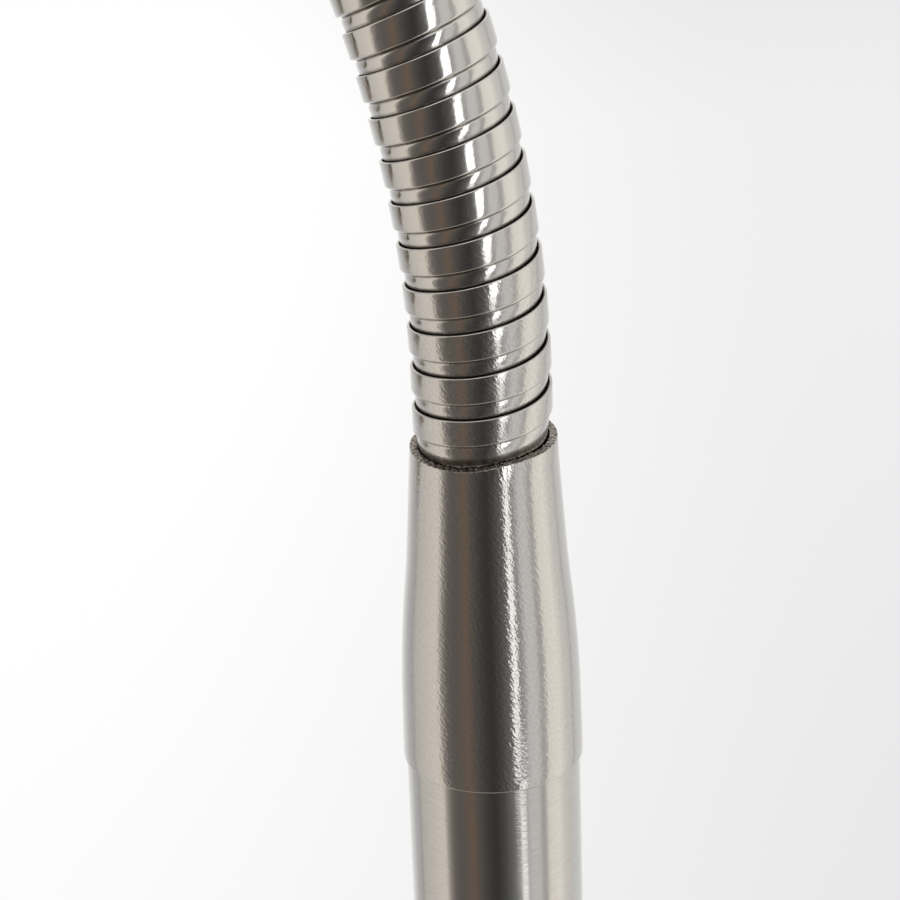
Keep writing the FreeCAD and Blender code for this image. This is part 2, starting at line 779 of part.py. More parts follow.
def makeHolder():
    capWall = 2 * size.cupWall
    capStep = size.holderCapLength / 1.5
    keep(turnedBody("holder_cap", [
        (threadHole, 0),
        (size.holderRadius, 0),
        (size.holderRadius, size.holderCapLength),
        (size.holderRadius - capWall, size.holderCapLength),
        (size.holderRadius - capWall, capStep),
        (threadHole, capStep),
    ], raised(holderBack, headPlace)))
    shoulderTop = cupFront - holderJoint
    cavity = size.shellRadius + size.looseGap
    contactHole = size.contactRadius / 2 + size.runningGap
    keep(turnedBody("lamp_holder", [
        (contactHole, 0),
        (size.holderRadius, 0),
        (size.holderRadius, shoulderTop - size.holderShoulderHeight),
        (size.holderShoulderRadius, shoulderTop - size.holderShoulderHeight),
        (size.holderShoulderRadius, shoulderTop),
        (size.holderSkirtRadius, shoulderTop),
        (size.holderSkirtRadius, size.holderLength),
        (cavity, size.holderLength),
        (cavity, size.holderWall),
        (contactHole, size.holderWall),
    ], raised(holderJoint, headPlace)))
    keep(turnedBody("screw_shell", [
        (size.contactRadius + size.looseGap, 0),
        (size.shellRadius, 0),
        (size.shellRadius, size.shellLength),
        (size.shellRadius - size.shellWall, size.shellLength),
        (size.shellRadius - size.shellWall, size.shellWall),
        (size.contactRadius + size.looseGap, size.shellWall),
    ], raised(shellBack, headPlace)))
    keep(turnedBody("centre_contact", [
        (0, 0),
        (size.contactRadius / 2, 0),
        (size.contactRadius / 2, size.holderWall),
        (size.contactRadius, size.holderWall),
        (size.contactRadius, size.holderWall + size.shellWall + size.contactHeight),
        (0, size.holderWall + size.shellWall + size.contactHeight),
    ], raised(holderJoint, headPlace)))
    keep(turnedBody("shade_ring", [
        (size.holderSkirtRadius + size.runningGap, 0),
        (size.ringRadius, 0),
        (size.ringRadius, size.ringHeight - size.cupWall),
        (size.ringRadius - size.cupWall, size.ringHeight),
        (size.holderSkirtRadius + size.runningGap, size.ringHeight),
    ], raised(cupFront + size.shadeWall, headPlace)))


def makeShade():
    bead = size.shadeBeadRadius
    mouthInside = size.shadeMouthRadius - size.shadeWall
    keep(turnedBody("shade", [
        (size.holderSkirtRadius + size.looseGap, 0),
        (size.cupRadius, 0),
        (size.shadeMouthRadius, size.shadeLength, size.shadeBellRadius, 1),
        (size.shadeMouthRadius + bead, size.shadeLength + bead, bead, 1),
        (size.shadeMouthRadius, size.shadeLength + 2 * bead, bead, 1),
        (mouthInside, size.shadeLength + 2 * bead),
        (mouthInside, size.shadeLength),
        (size.cupRadius - size.shadeWall, size.shadeWall, size.shadeBellRadius - size.shadeWall, -1),
        (size.holderSkirtRadius + size.looseGap, size.shadeWall),
    ], raised(cupFront, headPlace)))


def makeBulb():
    tip = size.bulbTipHeight
    keep(turnedBody("bulb_cap", [
        (0, -tip),
        (size.bulbTipRadius, -tip),
        (size.bulbTipRadius, 0),
        (size.bulbCapRadius, tip),
        (size.bulbCapRadius, size.bulbCapLength),
        (0, size.bulbCapLength),
    ], raised(bulbBack, headPlace)))
    ballLevel = size.bulbLength - size.bulbRadius
    neckDrop = squareRoot(size.bulbRadius * size.bulbRadius - size.bulbNeckRadius * size.bulbNeckRadius)
    neckRise = ballLevel - neckDrop
    inner = size.bulbRadius - size.bulbWall
    innerNeck = size.bulbNeckRadius - size.bulbWall
    innerRise = ballLevel - squareRoot(inner * inner - innerNeck * innerNeck)
    keep(turnedBody("bulb_glass", [
        (innerNeck, 0),
        (size.bulbNeckRadius, 0),
        (size.bulbNeckRadius, neckRise),
        (size.bulbRadius, ballLevel, size.bulbRadius, 1),
        (0, size.bulbLength, size.bulbRadius, 1),
        (0, size.bulbLength - size.bulbWall),
        (inner, ballLevel, inner, -1),
        (innerNeck, innerRise, inner, -1),
    ], raised(bulbBack + size.bulbCapLength, headPlace)))


# ---- switch -------------------------------------------------------------------------------


def makeSwitch():
    bodyFoot = switchFront - size.switchThickness
    halfLength = size.switchLength.value / 2
    corner = Placement(Vector(-halfLength, -size.switchWidth.value / 2, bodyFoot.value), Rotation())
    block = primitive("Part::Box", "switch_block", {
        "Length": size.switchLength, "Width": size.switchWidth, "Height": size.switchThickness,
    }, switchAxisPlace.multiply(corner))
    neckLength = size.cupRadius + size.bushingReach - bodyFoot
    bushing = rod("switch_bushing", size.bushingRadius, neckLength, raised(bodyFoot, switchAxisPlace))
    shaftHole = rod("switch_bore", size.shaftRadius + size.runningGap, neckLength,
                    raised(switchFront - size.shaftSunk - size.runningGap, switchAxisPlace))
    solid = fused("switch_solid", block, bushing)
    keep(cut("switch_body", solid, shaftHole))
    hexNut("switch_nut", size.switchNutRadius, size.switchNutHeight, size.bushingRadius + size.runningGap,
           raised(size.cupRadius, switchAxisPlace))
    shaftLength = knobFoot + knobBoreDepth - size.looseGap - (switchFront - size.shaftSunk)
    shaftPlace = raised(switchFront - size.shaftSunk, switchAxisPlace)
    shaft = rod("switch_shaft_round", size.shaftRadius, shaftLength, shaftPlace)
    flatDepth = size.shaftRadius.value / 2
    flatPlace = Placement(Vector(flatDepth, -size.shaftRadius.value, knobFoot.value), Rotation())
    flat = primitive("Part::Box", "switch_shaft_flat", {
        "Length": 2 * size.shaftRadius, "Width": 2 * size.shaftRadius, "Height": size.knobLength,
    }, switchAxisPlace.multiply(flatPlace))
    keep(cut("switch_shaft", shaft, flat))
    knob = turnedBody("switch_knob", [
        (size.shaftRadius + size.pressGap, 0),
        (size.knobRadius, 0),
        (size.knobRadius, size.knobLength - size.knobCap / 2),
        (size.knobRadius - size.knobCap / 2, size.knobLength),
        (0, size.knobLength),
        (0, knobBoreDepth),
        (size.shaftRadius + size.pressGap, knobBoreDepth),
    ], raised(knobFoot, switchAxisPlace))
    document.recompute()
    before = knob.Shape.Volume
    fluteLength = size.knobLength + size.knobCap
    holeRing(knob, "knob_flute", size.knobRadius, size.fluteRadius, fluteLength, fluteCount)
    document.recompute()
    print(f"switch_knob flutes take {before - knob.Shape.Volume:.1f} cubic mm")
    keep(knob)


def checkAndWrite():
    document.recompute()
    for item in document.Objects:
        if "Invalid" in item.State or "Error" in item.State:
            raise RuntimeError(f"{item.Label} did not compute: {item.State}")
    for label, item in parts.items():
        if item.Shape.isNull() or not item.Shape.isValid() or not item.Shape.Solids:
            raise RuntimeError(f"{label} has no sound solid")
    os.makedirs("parts", exist_ok=True)
    for label, item in parts.items():
        item.Shape.exportStep(f"parts/{label}.step")
        box = item.Shape.BoundBox
        print(f"{label}: {len(item.Shape.Solids)} solid, {item.Shape.Volume / 1000:.3f} cubic cm, "
              f"Z {box.ZMin:.2f} to {box.ZMax:.2f}")
    print(f"{len(parts)} sub-parts")


makeBase()
makeInlet()
makePoleLead()
makePole()
makeCollar("gooseneck_collar", raised(collarFoot))
makeFitting("hose_fitting_lower", size.spigotLength, raised(collarFoot + fittingBase))
makeNeck()
makeHead()
checkAndWrite()
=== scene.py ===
import json
import math

import bpy
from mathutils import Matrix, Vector, noise


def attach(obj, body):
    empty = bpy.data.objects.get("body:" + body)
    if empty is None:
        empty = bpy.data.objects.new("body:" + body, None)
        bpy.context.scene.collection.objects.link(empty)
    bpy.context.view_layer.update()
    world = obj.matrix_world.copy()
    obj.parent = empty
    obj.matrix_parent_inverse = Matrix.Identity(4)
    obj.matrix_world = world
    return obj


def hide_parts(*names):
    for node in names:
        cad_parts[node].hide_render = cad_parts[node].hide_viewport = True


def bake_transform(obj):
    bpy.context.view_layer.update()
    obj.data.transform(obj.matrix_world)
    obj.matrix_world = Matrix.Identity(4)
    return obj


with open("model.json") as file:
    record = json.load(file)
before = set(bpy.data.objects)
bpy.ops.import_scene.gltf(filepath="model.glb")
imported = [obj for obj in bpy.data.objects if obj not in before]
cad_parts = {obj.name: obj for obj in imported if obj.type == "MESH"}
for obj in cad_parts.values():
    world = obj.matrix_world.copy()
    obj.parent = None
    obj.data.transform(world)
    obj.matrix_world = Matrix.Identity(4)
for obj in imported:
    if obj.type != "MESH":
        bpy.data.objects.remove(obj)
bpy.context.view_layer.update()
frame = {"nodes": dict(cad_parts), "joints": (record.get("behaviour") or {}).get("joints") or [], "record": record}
print("frame loaded:", len(frame["nodes"]), "nodes")

mm = 0.001  # sizes in the dictionaries are in millimetres and degrees
micron = 0.001 * mm
noiseSpan = (0.3, 0.7)  # where most values of a noise lie

pivots = {joint["name"]: Vector(joint["pos_m"]) for joint in frame["joints"]}
bends = sorted(name for name in pivots if name.startswith("neck_bend"))
neckStart = pivots[bends[0]]
neckEnd = pivots[bends[-1]]


def bendRadius():
    reach = neckEnd - neckStart  # the neck leaves its start straight up and curves towards -X
    return -(reach.x ** 2 + reach.z ** 2) / (2 * reach.x)


neckRadius = bendRadius()
linkTurn = 2 * math.asin((pivots[bends[1]] - neckStart).length / (2 * neckRadius))
neckTurn = linkTurn * (len(bends) - 1)
linkLength = linkTurn * neckRadius
neckLength = neckTurn * neckRadius


# a point of a neck drawn straight up from its first pivot, carried to the bent neck
def alongNeck(point):
    turn = min(max(point.z, 0), neckLength) / neckRadius
    rest = point.z - turn * neckRadius
    outward = Vector((math.cos(turn), 0, math.sin(turn)))
    ahead = Vector((-math.sin(turn), 0, math.cos(turn)))
    centre = neckStart + neckRadius * (outward - Vector((1, 0, 0)))
    return centre + outward * point.x + Vector((0, point.y, 0)) + ahead * rest


# camera: a long lens looks down on the sleeve, turned a little so that the pole leans
camera = {
    "place": (148.8, -267.1, 1281.4),
    "aim": (-3.09, -1.77, 1140.3),
    "lens": 127.7,
    "sensor": 36,
    "roll": 2.14,
}


def placeCamera():
    place = Vector(camera["place"]) * mm
    ahead = Vector(camera["aim"]) * mm - place
    bpy.ops.object.camera_add(location=place)
    eye = bpy.context.object
    eye.name = "lens"
    eye.rotation_euler = ahead.to_track_quat("-Z", "Y").to_euler()
    eye.rotation_euler.rotate_axis("Z", -math.radians(camera["roll"]))
    eye.data.lens = camera["lens"]
    eye.data.sensor_width = camera["sensor"]
    bpy.context.scene.camera = eye


placeCamera()
bpy.context.scene.view_settings.view_transform = "Standard"
print("camera set")


def hexColour(code):
    shares = [int(code[k:k + 2], 16) / 255 for k in (1, 3, 5)]
    linear = [s / 12.92 if s <= 0.04045 else ((s + 0.055) / 1.055) ** 2.4 for s in shares]
    return (*linear, 1.0)


# a node with its settings, by attribute or socket, and the sockets that feed it
def addNode(tree, kind, settings, links=None):
    made = tree.nodes.new("ShaderNode" + kind)
    for name, value in settings.items():
        if isinstance(name, str) and hasattr(made, name):
            setattr(made, name, value)
        else:
            made.inputs[name].default_value = value
    for name, source in (links or {}).items():
        tree.links.new(source, made.inputs[name])
    return made


# a node that works on its inputs in order: numbers are set on the sockets, outputs are linked to them
def addWork(tree, kind, operation, values):
    settings = {"operation": operation}
    links = {}
    for k, value in enumerate(values):
        (links if isinstance(value, bpy.types.NodeSocket) else settings)[k] = value
    return addNode(tree, kind, settings, links).outputs


def addMath(tree, operation, *values):
    return addWork(tree, "Math", operation, values)[0]


def addVector(tree, operation, *values):
    shown = "Value" if operation in ("DOT_PRODUCT", "LENGTH") else "Vector"
    return addWork(tree, "VectorMath", operation, values)[shown]


# a value that goes from one end to the other as its source crosses the span
def addRange(tree, source, span, ends=(0.0, 1.0), smooth=False):
    return addNode(tree, "MapRange", {
        "interpolation_type": "SMOOTHSTEP" if smooth else "LINEAR",
        "From Min": span[0], "From Max": span[1], "To Min": ends[0], "To Max": ends[1],
    }, {"Value": source}).outputs[0]


def addNoise(tree, source, scale, detail, roughness=0.5):
    return addNode(tree, "TexNoise", {"Scale": scale, "Detail": detail, "Roughness": roughness},
                   {"Vector": source}).outputs["Fac"]


# relief of so many microns, on top of another one where that is given
def addRelief(tree, height, depth, under=None):
    links = {"Height": height}
    if under:
        links["Normal"] = under
    return addNode(tree, "Bump", {"Strength": 1.0, "Distance": depth * micron}, links).outputs[0]


def multiplyTint(tree, look, shade):
    return addNode(tree, "Mix", {
        "data_type": "RGBA", "blend_type": "MULTIPLY", 0: 1.0, 6: hexColour(look["tint"]),
    }, {7: shade}).outputs[2]


# two colours at two levels of a noise
def mixTones(tree, source, levels, codes):
    tones = addNode(tree, "ValToRGB", {}, {"Fac": source})
    for stop, level, code in zip(tones.color_ramp.elements, levels, codes):
        stop.position = level
        stop.color = hexColour(code)
    return tones.outputs["Color"]


def newTree(name):
    finish = bpy.data.materials.new(name)
    finish.use_nodes = True
    finish.node_tree.nodes.clear()
    return finish, finish.node_tree


def inMetres(span):
    return [length * mm for length in span]


def deselectAll():
    if bpy.context.object and bpy.context.object.mode != "OBJECT":
        bpy.ops.object.mode_set(mode="OBJECT")
    bpy.ops.object.select_all(action="DESELECT")


# studio: a pale floor, an even white surround, three soft boxes, and a ring of cards and
# dark room that only reflections see; its angles are from the camera's side, anticlockwise
studio = {
    "front": -60.2,
    "floorSize": 24.0,
    "floorColour": "#DBDBDB",
    "floorGlow": (0.185, 0.0),
    "floorFade": (-430, 430),
    "depthGlow": (-0.01, 0.155),
    "depthFade": (1200, 3400),
    "farFade": (4300, 11000),
    "worldStrength": 0.84,
    "ringRadius": 1500,
    "ringHeight": 2600,
    "boxes": [
        {"name": "keyBox", "turn": -55, "reach": 2600, "height": 2900, "size": 1800, "watts": 26},
        {"name": "fillBox", "turn": 60, "reach": 2800, "height": 2500, "size": 1900, "watts": 18},
        {"name": "backBox", "turn": 170, "reach": 2900, "height": 2900, "size": 2000, "watts": 20},
    ],
    "ring": [
        (-180, "#E8E8E6", 1.04), (-150, "#E6E6E6", 0.84),
        (-135, "#E4E4E6", 0.64), (-125, "#E4E4E6", 0.60), (-121.5, "#E0DEDC", 0.46),
        (-118, "#E6E2DE", 0.68), (-100, "#E8E3DD", 0.80), (-85, "#E8E1D9", 0.90),
        (-73, "#E8E0D6", 0.96), (-67, "#E0D8D0", 0.42), (-60, "#D8CFC6", 0.20),
        (-50, "#CEC8C2", 0.15), (-38, "#D0BEB0", 0.18), (-31, "#D3B7A2", 0.21), (-23, "#D0C8C0", 0.13),
        (-10, "#D2D2D2", 0.07), (0, "#D2D2D2", 0.05), (12, "#D8D8D8", 0.10),
        (20, "#DADADA", 0.18), (38, "#E0E0E0", 0.36), (47, "#E6E6E6", 0.80),
        (60, "#E4E4E3", 0.80), (66, "#E2E0DD", 0.52), (70, "#E2DFDB", 0.60),
        (75, "#E8E4DE", 1.06), (94, "#E8E4DE", 1.14), (107, "#E8E5E1", 0.88),
        (121, "#E6E5E3", 0.78), (125, "#E2E2E2", 0.60), (130, "#E6E6E6", 0.78),
        (155, "#E8E8E8", 0.82), (180, "#E8E8E6", 1.04),
    ],
    "dish": {"reach": 150, "height": 90, "level": 0.5, "tint": "#D6CABC", "fade": (450, 950)},
    "strip": {"turns": (37.5, 30), "lean": (225, 258), "widths": (8, 12), "levels": (1.45, 2.6),
              "rise": (700, 950)},
}


def aroundStudio(turn, reach, height):
    angle = math.radians(studio["front"] + turn)
    return Vector((math.cos(angle) * reach, math.sin(angle) * reach, height)) * mm


# how far a place lies from the axis, measured towards a turn on the floor
def measureTowards(tree, place, turn):
    angle = math.radians(turn)
    return addVector(tree, "DOT_PRODUCT", place, (math.cos(angle), math.sin(angle), 0))


# 1 for the camera, for reflections and for what is seen through glass, 0 for all other rays
def seenRays(tree):
    path = addNode(tree, "LightPath", {}).outputs
    direct = addMath(tree, "MAXIMUM", path["Is Camera Ray"], path["Is Glossy Ray"])
    return addMath(tree, "MAXIMUM", direct, path["Is Transmission Ray"])


# the floor is matt paint; in the camera and in reflections it fades a little from left to right
# and into the white surround far out
def layFloor():
    deselectAll()
    bpy.ops.mesh.primitive_plane_add(size=studio["floorSize"])
    floor = bpy.context.object
    floor.name = "studioFloor"
    finish, tree = newTree("matt_floor_paint")
    place = addNode(tree, "TexCoord", {}).outputs["Object"]
    across = measureTowards(tree, place, studio["front"] + 90)
    depth = measureTowards(tree, place, studio["front"] + 180)
    glow = addRange(tree, across, inMetres(studio["floorFade"]), studio["floorGlow"], smooth=True)
    farther = addRange(tree, depth, inMetres(studio["depthFade"]), studio["depthGlow"])
    total = addNode(tree, "Math", {"operation": "ADD", "use_clamp": True}, {0: glow, 1: farther})
    seen = seenRays(tree)
    shown = addMath(tree, "MULTIPLY", seen, total.outputs[0])
    paint = addNode(tree, "BsdfDiffuse", {"Color": hexColour(studio["floorColour"])})
    light = addNode(tree, "Emission", {"Color": (1, 1, 1, 1)}, {"Strength": shown})
    both = addNode(tree, "AddShader", {}, {0: paint.outputs[0], 1: light.outputs[0]})
    faded = addRange(tree, addVector(tree, "LENGTH", place), inMetres(studio["farFade"]), smooth=True)
    white = addNode(tree, "Emission", {"Color": (1, 1, 1, 1), "Strength": 1.0})
    ground = addNode(tree, "MixShader", {}, {0: addMath(tree, "MULTIPLY", seen, faded),
                                             1: both.outputs[0], 2: white.outputs[0]})
    addNode(tree, "OutputMaterial", {}, {"Surface": ground.outputs[0]})
    floor.data.materials.append(finish)


def lightWorld():
    world = bpy.data.worlds.new("white_surround")
    bpy.context.scene.world = world
    world.use_nodes = True
    tree = world.node_tree
    tree.nodes.clear()
    strength = addRange(tree, seenRays(tree), (0.0, 1.0), (studio["worldStrength"], 1.0))
    sky = addNode(tree, "Background", {"Color": (1, 1, 1, 1)}, {"Strength": strength})
    addNode(tree, "OutputWorld", {}, {"Surface": sky.outputs[0]})


def hangSoftBoxes():
    for box in studio["boxes"]:
        place = aroundStudio(box["turn"], box["reach"], box["height"])
        bpy.ops.object.light_add(type="AREA", location=place)
        lamp = bpy.context.object
        lamp.name = box["name"]
        lamp.data.size = box["size"] * mm
        lamp.data.energy = box["watts"]
        lamp.rotation_euler = (Vector((0, 0, 0.6)) - place).to_track_quat("-Z", "Y").to_euler()
        lamp.visible_glossy = False


# a turn as the radial gradient counts it
def ringShare(turn):
    return turn / 360 + 0.5


# the ring stands on a dish of one tone, which fades into the ring's tones farther out. A bright strip
# on the ring leans over at one height, and grows wider and brighter above another
def raiseRing():
    deselectAll()
    dish = studio["dish"]
    bpy.ops.mesh.primitive_circle_add(vertices=180, radius=dish["reach"] * mm, location=(0, 0, 0.002))
    bpy.ops.object.transform_apply(location=True)
    ring = bpy.context.object
    ring.name = "studioRing"
    wider = studio["ringRadius"] / dish["reach"]
    bpy.ops.object.mode_set(mode="EDIT")
    bpy.ops.mesh.select_all(action="SELECT")
    bpy.ops.mesh.extrude_edges_move(TRANSFORM_OT_translate={"value": (0, 0, dish["height"] * mm)})
    bpy.ops.transform.resize(value=(wider, wider, 1))
    bpy.ops.mesh.extrude_edges_move(
        TRANSFORM_OT_translate={"value": (0, 0, (studio["ringHeight"] - dish["height"]) * mm)})
    bpy.ops.object.mode_set(mode="OBJECT")
    for kind in ("camera", "diffuse", "transmission", "volume_scatter", "shadow"):
        setattr(ring, "visible_" + kind, False)
    finish, tree = newTree("card_ring")
    place = addNode(tree, "TexCoord", {}).outputs["Object"]
    height = addNode(tree, "SeparateXYZ", {}, {0: place}).outputs["Z"]
    turned = addNode(tree, "Mapping", {"Rotation": (0, 0, -math.radians(studio["front"]))}, {"Vector": place})
    radial = addNode(tree, "TexGradient", {"gradient_type": "RADIAL"}, {"Vector": turned.outputs[0]})
    angle = radial.outputs["Fac"]
    tones = addNode(tree, "ValToRGB", {}, {"Fac": angle})
    ramp = tones.color_ramp
    ramp.elements.remove(ramp.elements[0])
    for turn, tint, strength in studio["ring"][:-1]:
        ramp.elements.new(ringShare(turn)).color = toneOf(tint, strength)
    ramp.elements[-1].color = toneOf(*studio["ring"][-1][1:])
    strip = studio["strip"]
    lean = addRange(tree, height, inMetres(strip["lean"]), [ringShare(turn) for turn in strip["turns"]])
    half = addRange(tree, height, inMetres(strip["rise"]), [width / 2 / 360 for width in strip["widths"]])
    bright = addRange(tree, height, inMetres(strip["rise"]), strip["levels"])
    lit = addMath(tree, "COMPARE", angle, lean, half)
    walls = addNode(tree, "Mix", {"data_type": "RGBA"}, {0: lit, 6: tones.outputs["Color"], 7: bright})
    reach = addVector(tree, "LENGTH", addVector(tree, "MULTIPLY", place, (1, 1, 0)))
    above = addRange(tree, reach, inMetres(dish["fade"]))
    shown = addNode(tree, "Mix", {"data_type": "RGBA", 6: toneOf(dish["tint"], dish["level"])},
                    {0: above, 7: walls.outputs[2]})
    light = addNode(tree, "Emission", {}, {"Color": shown.outputs[2]})
    addNode(tree, "OutputMaterial", {}, {"Surface": light.outputs[0]})
    ring.data.materials.append(finish)


# a tint brought to a brightness, its brightest share as strong as the level
def toneOf(tint, level):
    linear = hexColour(tint)[:3]
    return (*(level * share / max(linear) for share in linear), 1)


layFloor()
lightWorld()
hangSoftBoxes()
raiseRing()
print("studio lit")


# an open or closed outline of edges, drawn corner by corner from a single vertex
def drawOutline(name, corners, closed):
    deselectAll()
    bpy.ops.mesh.primitive_plane_add(size=mm)
    outline = bpy.context.object
    outline.name = name
    bpy.ops.object.mode_set(mode="EDIT")
    bpy.ops.mesh.select_all(action="SELECT")
    bpy.ops.mesh.merge(type="CENTER")
    bpy.ops.transform.translate(value=corners[0])
    for here, there in zip(corners, corners[1:]):
        bpy.ops.mesh.extrude_vertices_move(TRANSFORM_OT_translate={"value": there - here})
    bpy.ops.mesh.select_all(action="DESELECT")
    bpy.ops.object.mode_set(mode="OBJECT")
    order = [nearest(corners, vertex.co) for vertex in outline.data.vertices]
    if closed:
        for vertex, place in zip(outline.data.vertices, order):
            vertex.select = place in (0, len(corners) - 1)
        bpy.ops.object.mode_set(mode="EDIT")
        bpy.ops.mesh.edge_face_add()
        bpy.ops.object.mode_set(mode="OBJECT")
    return outline, order


def nearest(corners, point):
    return min(range(len(corners)), key=lambda k: (corners[k] - point).length)


# sweeps the outline round the Z axis, and up it where there is a pitch
def wind(piece, steps, turns=1, pitch=0.0):
    screw = piece.modifiers.new("wind", "SCREW")
    screw.steps = screw.render_steps = steps
    screw.iterations = turns
    screw.screw_offset = pitch
    screw.use_merge_vertices = False
    bpy.ops.object.modifier_apply(modifier=screw.name)


def closeAndSmooth(piece, angle):
    deselectAll()
    bpy.context.view_layer.objects.active = piece
    piece.select_set(True)
    bpy.ops.object.mode_set(mode="EDIT")
    bpy.ops.mesh.select_all(action="SELECT")
    bpy.ops.mesh.remove_doubles(threshold=1e-7)
    bpy.ops.mesh.select_all(action="SELECT")
    bpy.ops.mesh.fill_holes(sides=0)
    bpy.ops.mesh.select_all(action="SELECT")
    bpy.ops.mesh.normals_make_consistent(inside=False)
    bpy.ops.object.mode_set(mode="OBJECT")
    bpy.ops.object.shade_smooth_by_angle(angle=math.radians(angle))


# a map in millimetres: along the strip or round the axis, and across the outline
def layMap(piece, order, corners, steps, radius):
    across = [0.0]
    for here, there in zip(corners, corners[1:]):
        across.append(across[-1] + (there - here).length / mm)
    stepLength = 2 * math.pi * radius / steps
    layer = piece.data.uv_layers.new(name="surface")
    for face in piece.data.polygons:
        places = [divmod(piece.data.loops[k].vertex_index, len(order)) for k in face.loop_indices]
        wraps = max(step for step, _ in places) - min(step for step, _ in places) > 1
        for loop, (step, corner) in zip(face.loop_indices, places):
            shown = steps if wraps and step == 0 else step
            layer.data[loop].uv = (shown * stepLength, across[order[corner]])


# a copy of a piece modelled straight, with its own mesh, moved up by so much and its map along by so much
def copyPiece(piece, name, lift, shift):
    twin = piece.copy()
    twin.data = piece.data.copy()
    twin.name = twin.data.name = name
    bpy.context.scene.collection.objects.link(twin)
    for vertex in twin.data.vertices:
        vertex.co.z += lift
    for corner in twin.data.uv_layers["surface"].data:
        corner.uv.x += shift
    return twin


def bendPiece(piece):
    for vertex in piece.data.vertices:
        vertex.co = alongNeck(vertex.co)
    piece.data.update()


# hose: one flat steel strip, rolled to a hooked section and wound five turns to each pivot;
# each outline corner is its radius and its height below the band's free top edge
hose = {
    "pitch": 4.7124,
    "turnsPerLink": 5,
    "steps": 72,
    "seam": 149.8,
    "firstEdge": -7.726,
    "lowerSkipped": 1,
    "upperTurns": 3,
    "blendReach": 7.6,
    "edgeAngle": 38,
    "outline": [
        (7.22, 0), (7.31, -0.02), (7.375, -0.07), (7.40, -0.16), (7.40, -1.50), (7.40, -2.64),
        (7.385, -2.78), (7.33, -2.89), (7.22, -2.96), (7.02, -3.00), (6.78, -3.02), (6.74, -3.06),
        (6.80, -3.12), (6.88, -3.20), (6.94, -3.31), (6.985, -3.46), (7.01, -3.66), (7.015, -3.88),
        (7.0, -4.10), (6.97, -4.30), (6.93, -4.50), (6.90, -4.70), (6.87, -5.20), (6.50, -5.20),
        (6.50, -4.70), (6.55, -4.20), (6.55, -3.40), (7.06, -2.85), (7.06, -0.05),
    ],
    "crease": 11,
    "flank": 20,
    "apronGap": 0.5,
    "apron": [(6.60, 0.3), (6.78, 0.2), (6.80, -0.3), (6.80, -1.5), (6.80, -4.8),
              (6.30, -4.8), (6.30, 0.0)],
}


def widest(outline):
    return max(radius for radius, _ in outline)


def windStrip(name, outline, turns, height):
    seam = math.radians(hose["seam"])
    corners = [Vector((radius, 0, height + drop)) * mm for radius, drop in outline]
    strip, order = drawOutline(name, corners, closed=True)
    wind(strip, hose["steps"], turns, hose["pitch"] * mm)
    layMap(strip, order, corners, hose["steps"], widest(outline))
    turned = math.cos(seam), math.sin(seam)
    for vertex in strip.data.vertices:
        x, y, z = vertex.co
        vertex.co = Vector((x * turned[0] - y * turned[1], x * turned[1] + y * turned[0], z))
    closeAndSmooth(strip, hose["edgeAngle"])
    return strip


def windHose(finish):
    perLink = hose["turnsPerLink"]
    turnLength = 2 * math.pi * widest(hose["outline"])
    linkStrip = windStrip("strip", hose["outline"], perLink, hose["firstEdge"])
    skipped = hose["lowerSkipped"]
    rootStrip = windStrip("rootStrip", hose["outline"], perLink - skipped,
                          hose["firstEdge"] + skipped * hose["pitch"])
    tipStrip = windStrip("tipStrip", hose["outline"], hose["upperTurns"], hose["firstEdge"])
    nodes = ["gooseneck_root", *(f"gooseneck_link_{k:02d}" for k in range(1, len(bends))), "gooseneck_tip"]
    for k in range(len(bends)):
        source = rootStrip if k == 0 else tipStrip if k == len(bends) - 1 else linkStrip
        start = perLink * k + (skipped if k == 0 else 0)
        strip = copyPiece(source, f"gooseneck_strip_{k + 1:02d}", k * linkLength, start * turnLength)
        bendPiece(strip)
        strip.data.materials.append(finish)
        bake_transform(strip)
        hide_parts(nodes[k], nodes[k + 1])
    for source in (linkStrip, rootStrip, tipStrip):
        bpy.data.objects.remove(source)


# the strip's last turn runs on plain into the sleeve at each end
def windAprons(finish):
    stripFoot = min(drop for _, drop in hose["outline"])
    lower = hose["firstEdge"] + hose["lowerSkipped"] * hose["pitch"] + stripFoot
    apron = windStrip("gooseneck_apron_lower", hose["apron"], 1, lower)
    bendPiece(apron)
    upper = hose["firstEdge"] + hose["upperTurns"] * hose["pitch"]
    upturned = [(radius, -drop) for radius, drop in hose["apron"]]
    cover = windStrip("gooseneck_apron_upper", upturned, 1, upper - hose["pitch"] - hose["apronGap"])
    for vertex in cover.data.vertices:
        vertex.co.z += neckLength
    bendPiece(cover)
    for piece, body in ((apron, "neck_base"), (cover, "head")):
        piece.data.materials.append(finish)
        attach(piece, body)


# sleeve: the tapered collar where the hose enters the pole, and its twin at the head
sleeve = {
    "foot": -43.93,
    "rim": -6.57,
    "footRadius": 9.90,
    "footRound": 0.2,
    "footSteps": 6,
    "slopes": [(0, 0.82), (7, 0.82), (21, 6.0), (25.6, 3.7), (37.36, 3.7)],
    "outerSteps": 26,
    "bore": [(9.60, 0.02), (9.56, 0.2), (9.56, 7.4), (7.02, 21.6)],
    "rimInner": 6.99,
    "rimWall": 0.82,
    "rimRound": 0.05,
    "rimChamfer": (0.02, 0.12),
    "rimReach": 3,
    "rimLean": 0.45,
    "rimLift": 0.08,
    "rimTurn": 2,
    "rimStep": 3,
    "sawSteps": 7,
    "sawDepth": 0.15,
    "sawGrain": 0.34,
    "fineSaw": {"finer": 2.3, "share": 0.5, "layer": 7},
    "sawShares": (0.2, 0.8),
    "sawnReach": 0.75,
    "sawnFacing": 0.55,
    "twinShift": 61.0,
    "steps": 480,
    "edgeAngle": 40,
}


